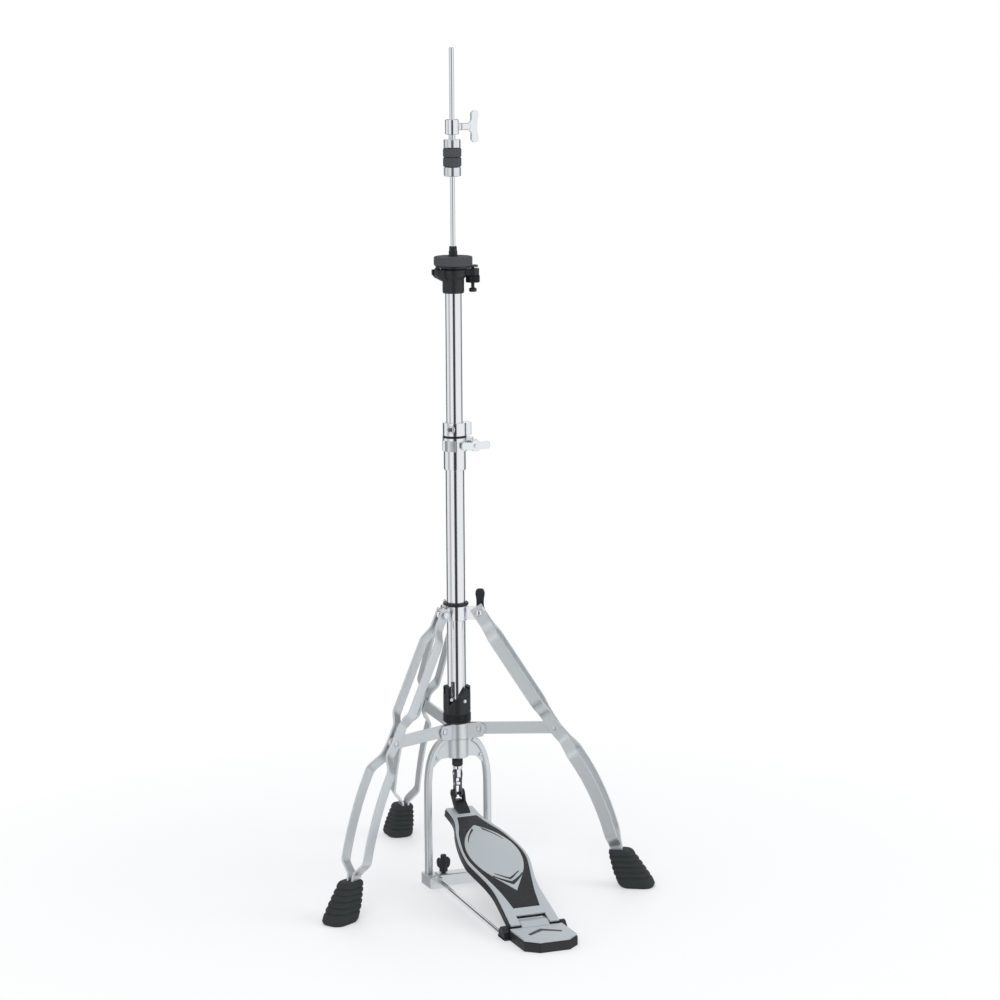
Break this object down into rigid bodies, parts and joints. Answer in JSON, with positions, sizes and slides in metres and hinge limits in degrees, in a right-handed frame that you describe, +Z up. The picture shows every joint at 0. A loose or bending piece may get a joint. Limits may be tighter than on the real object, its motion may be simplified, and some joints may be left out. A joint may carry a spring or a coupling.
{
  "type": "hi-hat stand",
  "caption": "Hi-hat cymbal stand: folding tripod with a foot pedal that pulls a central rod, a sliding clutch on the rod and a tilting felt seat on a telescoping tube.",
  "frame": {"origin": "centre of the bounding box at floor level", "axes": "+Z up along the tube, -Y towards the heel of the footboard, +X to the right of a player who faces the stand"},
  "size_m": [0.4632, 0.599, 1.1],
  "materials": {
    "chrome": "polished chrome plating",
    "satin": "bright satin finish",
    "black_plastic": "moulded, fine texture",
    "rubber": "matt moulded rubber",
    "felt": "dense grey-black felt",
    "silver": "silver grey, fine grain",
    "dark_steel": "dark plated steel"
  },
  "bodies": {
    "base": {"main_tube": "chrome", "tube_bushing": "black_plastic", "height_clamp": "chrome", "bracket_front": "satin", "bracket_left": "satin", "bracket_right": "satin", "yoke": "satin", "post_left": "satin", "post_right": "satin", "crossbar": "satin", "radius_rod_left": "chrome", "radius_rod_right": "chrome", "heel_base": "black_plastic", "heel_plate": "silver", "hinge_pin": "dark_steel"},
    "upper_tube": {"upper_tube": "chrome", "memory_lock": "chrome", "lock_bolt": "dark_steel", "seat_base": "black_plastic", "tilt_knob": "black_plastic"},
    "seat": {"seat_plate": "black_plastic", "seat_felt": "felt", "seat_neck": "black_plastic"},
    "tilt_screw": {"tilt_screw": "black_plastic"},
    "pull_rod": {"pull_rod": "chrome", "clevis": "chrome", "rod_stop": "black_plastic"},
    "chain_link": {"link_plate_left": "dark_steel", "link_plate_right": "dark_steel"},
    "clutch": {"clutch_body": "chrome", "clutch_nut_low": "chrome", "clutch_felt_low": "felt", "clutch_felt_high": "felt", "clutch_nut_high": "chrome"},
    "clutch_wing": {"clutch_wing": "chrome"},
    "footboard": {"footboard_body": "black_plastic", "footboard_plate": "silver", "footboard_inlay": "black_plastic", "footboard_badge": "silver", "toe_bracket": "black_plastic"},
    "tension_dial": {"tension_dial": "black_plastic"},
    "tension_pin": {"tension_pin": "chrome"},
    "collar": {"collar": "chrome", "collar_ring": "black_plastic"},
    "collar_wing": {"collar_wing": "chrome"},
    "height_wing": {"height_wing": "chrome"},
    "spur_left": {"spur_left": "black_plastic"},
    "spur_right": {"spur_right": "black_plastic"},
    "leg_left": {"leg_strap_left_a": "satin", "leg_strap_left_b": "satin", "leg_foot_left": "rubber"},
    "strut_left": {"strut_left": "satin"},
    "leg_right": {"leg_strap_right_a": "satin", "leg_strap_right_b": "satin", "leg_foot_right": "rubber"},
    "strut_right": {"strut_right": "satin"},
    "leg_back": {"leg_strap_back_a": "satin", "leg_strap_back_b": "satin", "leg_foot_back": "rubber"},
    "strut_back": {"strut_back": "satin"}
  },
  "joints": [
    {"name": "height_slide", "type": "slide", "parent": "base", "child": "upper_tube", "axis": [0, 0, 1], "range_m": [0, 0.05]},
    {"name": "seat_tilt", "type": "hinge", "parent": "upper_tube", "child": "seat", "pos_m": [-0.022, 0.0365, 0.8135], "axis": [0, -1, 0], "range_deg": [0, 1.5]},
    {"name": "tilt_screw_travel", "type": "slide", "parent": "upper_tube", "child": "tilt_screw", "axis": [0, 0, 1], "range_m": [0, 0.0014]},
    {"name": "footboard_hinge", "type": "hinge", "parent": "base", "child": "footboard", "pos_m": [0, -0.2265, 0.011], "axis": [1, 0, 0], "range_deg": [-6.5, 0]},
    {"name": "pull_rod_slide", "type": "slide", "parent": "base", "child": "pull_rod", "axis": [0, 0, 1], "range_m": [-0.034, 0], "stiffness_N_per_m": 800, "springref_m": 0.04},
    {"name": "link_swing", "type": "hinge", "parent": "pull_rod", "child": "chain_link", "pos_m": [0, 0.0365, 0.146], "axis": [1, 0, 0], "range_deg": [0, 24]},
    {"name": "clutch_slide", "type": "slide", "parent": "pull_rod", "child": "clutch", "axis": [0, 0, 1], "range_m": [0, 0.08]},
    {"name": "clutch_wing_turn", "type": "hinge", "parent": "clutch", "child": "clutch_wing", "pos_m": [0, 0.0365, 0.999], "axis": [1, 0, 0], "range_deg": [0, 180]},
    {"name": "height_wing_turn", "type": "hinge", "parent": "base", "child": "height_wing", "pos_m": [0.0215, 0.0365, 0.587], "axis": [0, 1, 0], "range_deg": [0, 180]},
    {"name": "tension_dial_turn", "type": "hinge", "parent": "base", "child": "tension_dial", "pos_m": [0, 0.0365, 0.24], "axis": [0, 0, -1], "range_deg": [0, 70]},
    {"name": "tension_pin_lift", "type": "slide", "parent": "base", "child": "tension_pin", "axis": [0, 0, 1], "range_m": [0, 0.0195]},
    {"name": "collar_slide", "type": "slide", "parent": "base", "child": "collar", "axis": [0, 0, 1], "range_m": [0, 0.08237]},
    {"name": "leg_left_fold", "type": "hinge", "parent": "collar", "child": "leg_left", "pos_m": [-0.02633, 0.0213, 0.365], "axis": [0.5, -0.866, 0], "range_deg": [0, 10.6]},
    {"name": "strut_left_swing", "type": "hinge", "parent": "base", "child": "strut_left", "pos_m": [-0.02685, 0.021, 0.209], "axis": [-0.5, 0.866, 0], "range_deg": [0, 43.2]},
    {"name": "collar_wing_turn", "type": "hinge", "parent": "collar", "child": "collar_wing", "pos_m": [0.02633, 0.0213, 0.365], "axis": [0.5, 0.866, 0], "range_deg": [0, 90]},
    {"name": "leg_right_fold", "type": "hinge", "parent": "collar", "child": "leg_right", "pos_m": [0.02633, 0.0213, 0.365], "axis": [0.5, 0.866, 0], "range_deg": [0, 10.6]},
    {"name": "strut_right_swing", "type": "hinge", "parent": "base", "child": "strut_right", "pos_m": [0.02685, 0.021, 0.209], "axis": [-0.5, -0.866, 0], "range_deg": [0, 43.2]},
    {"name": "leg_back_fold", "type": "hinge", "parent": "collar", "child": "leg_back", "pos_m": [0, 0.0669, 0.365], "axis": [-1, 0, 0], "range_deg": [0, 10.6]},
    {"name": "strut_back_swing", "type": "hinge", "parent": "base", "child": "strut_back", "pos_m": [0, 0.0675, 0.209], "axis": [1, 0, 0], "range_deg": [0, 43.2]},
    {"name": "spur_left_travel", "type": "slide", "parent": "base", "child": "spur_left", "axis": [0, 0, 1], "range_m": [0, 0.006]},
    {"name": "spur_right_travel", "type": "slide", "parent": "base", "child": "spur_right", "axis": [0, 0, 1], "range_m": [0, 0.006]}
  ],
  "couplings": [
    {"joint": "tilt_screw_travel", "follows": "seat_tilt", "m_per_rad": 0.049},
    {"joint": "pull_rod_slide", "follows": "footboard_hinge", "m_per_rad": 0.283},
    {"joint": "link_swing", "follows": "footboard_hinge", "ratio": -3.5},
    {"joint": "tension_pin_lift", "follows": "tension_dial_turn", "m_per_rad": 0.01547},
    {"joint": "leg_left_fold", "follows": "collar_slide", "rad_per_m": 2.2057},
    {"joint": "strut_left_swing", "follows": "collar_slide", "rad_per_m": 9.0728},
    {"joint": "leg_right_fold", "follows": "collar_slide", "rad_per_m": 2.2057},
    {"joint": "strut_right_swing", "follows": "collar_slide", "rad_per_m": 9.0728},
    {"joint": "leg_back_fold", "follows": "collar_slide", "rad_per_m": 2.2057},
    {"joint": "strut_back_swing", "follows": "collar_slide", "rad_per_m": 9.0728}
  ]
}
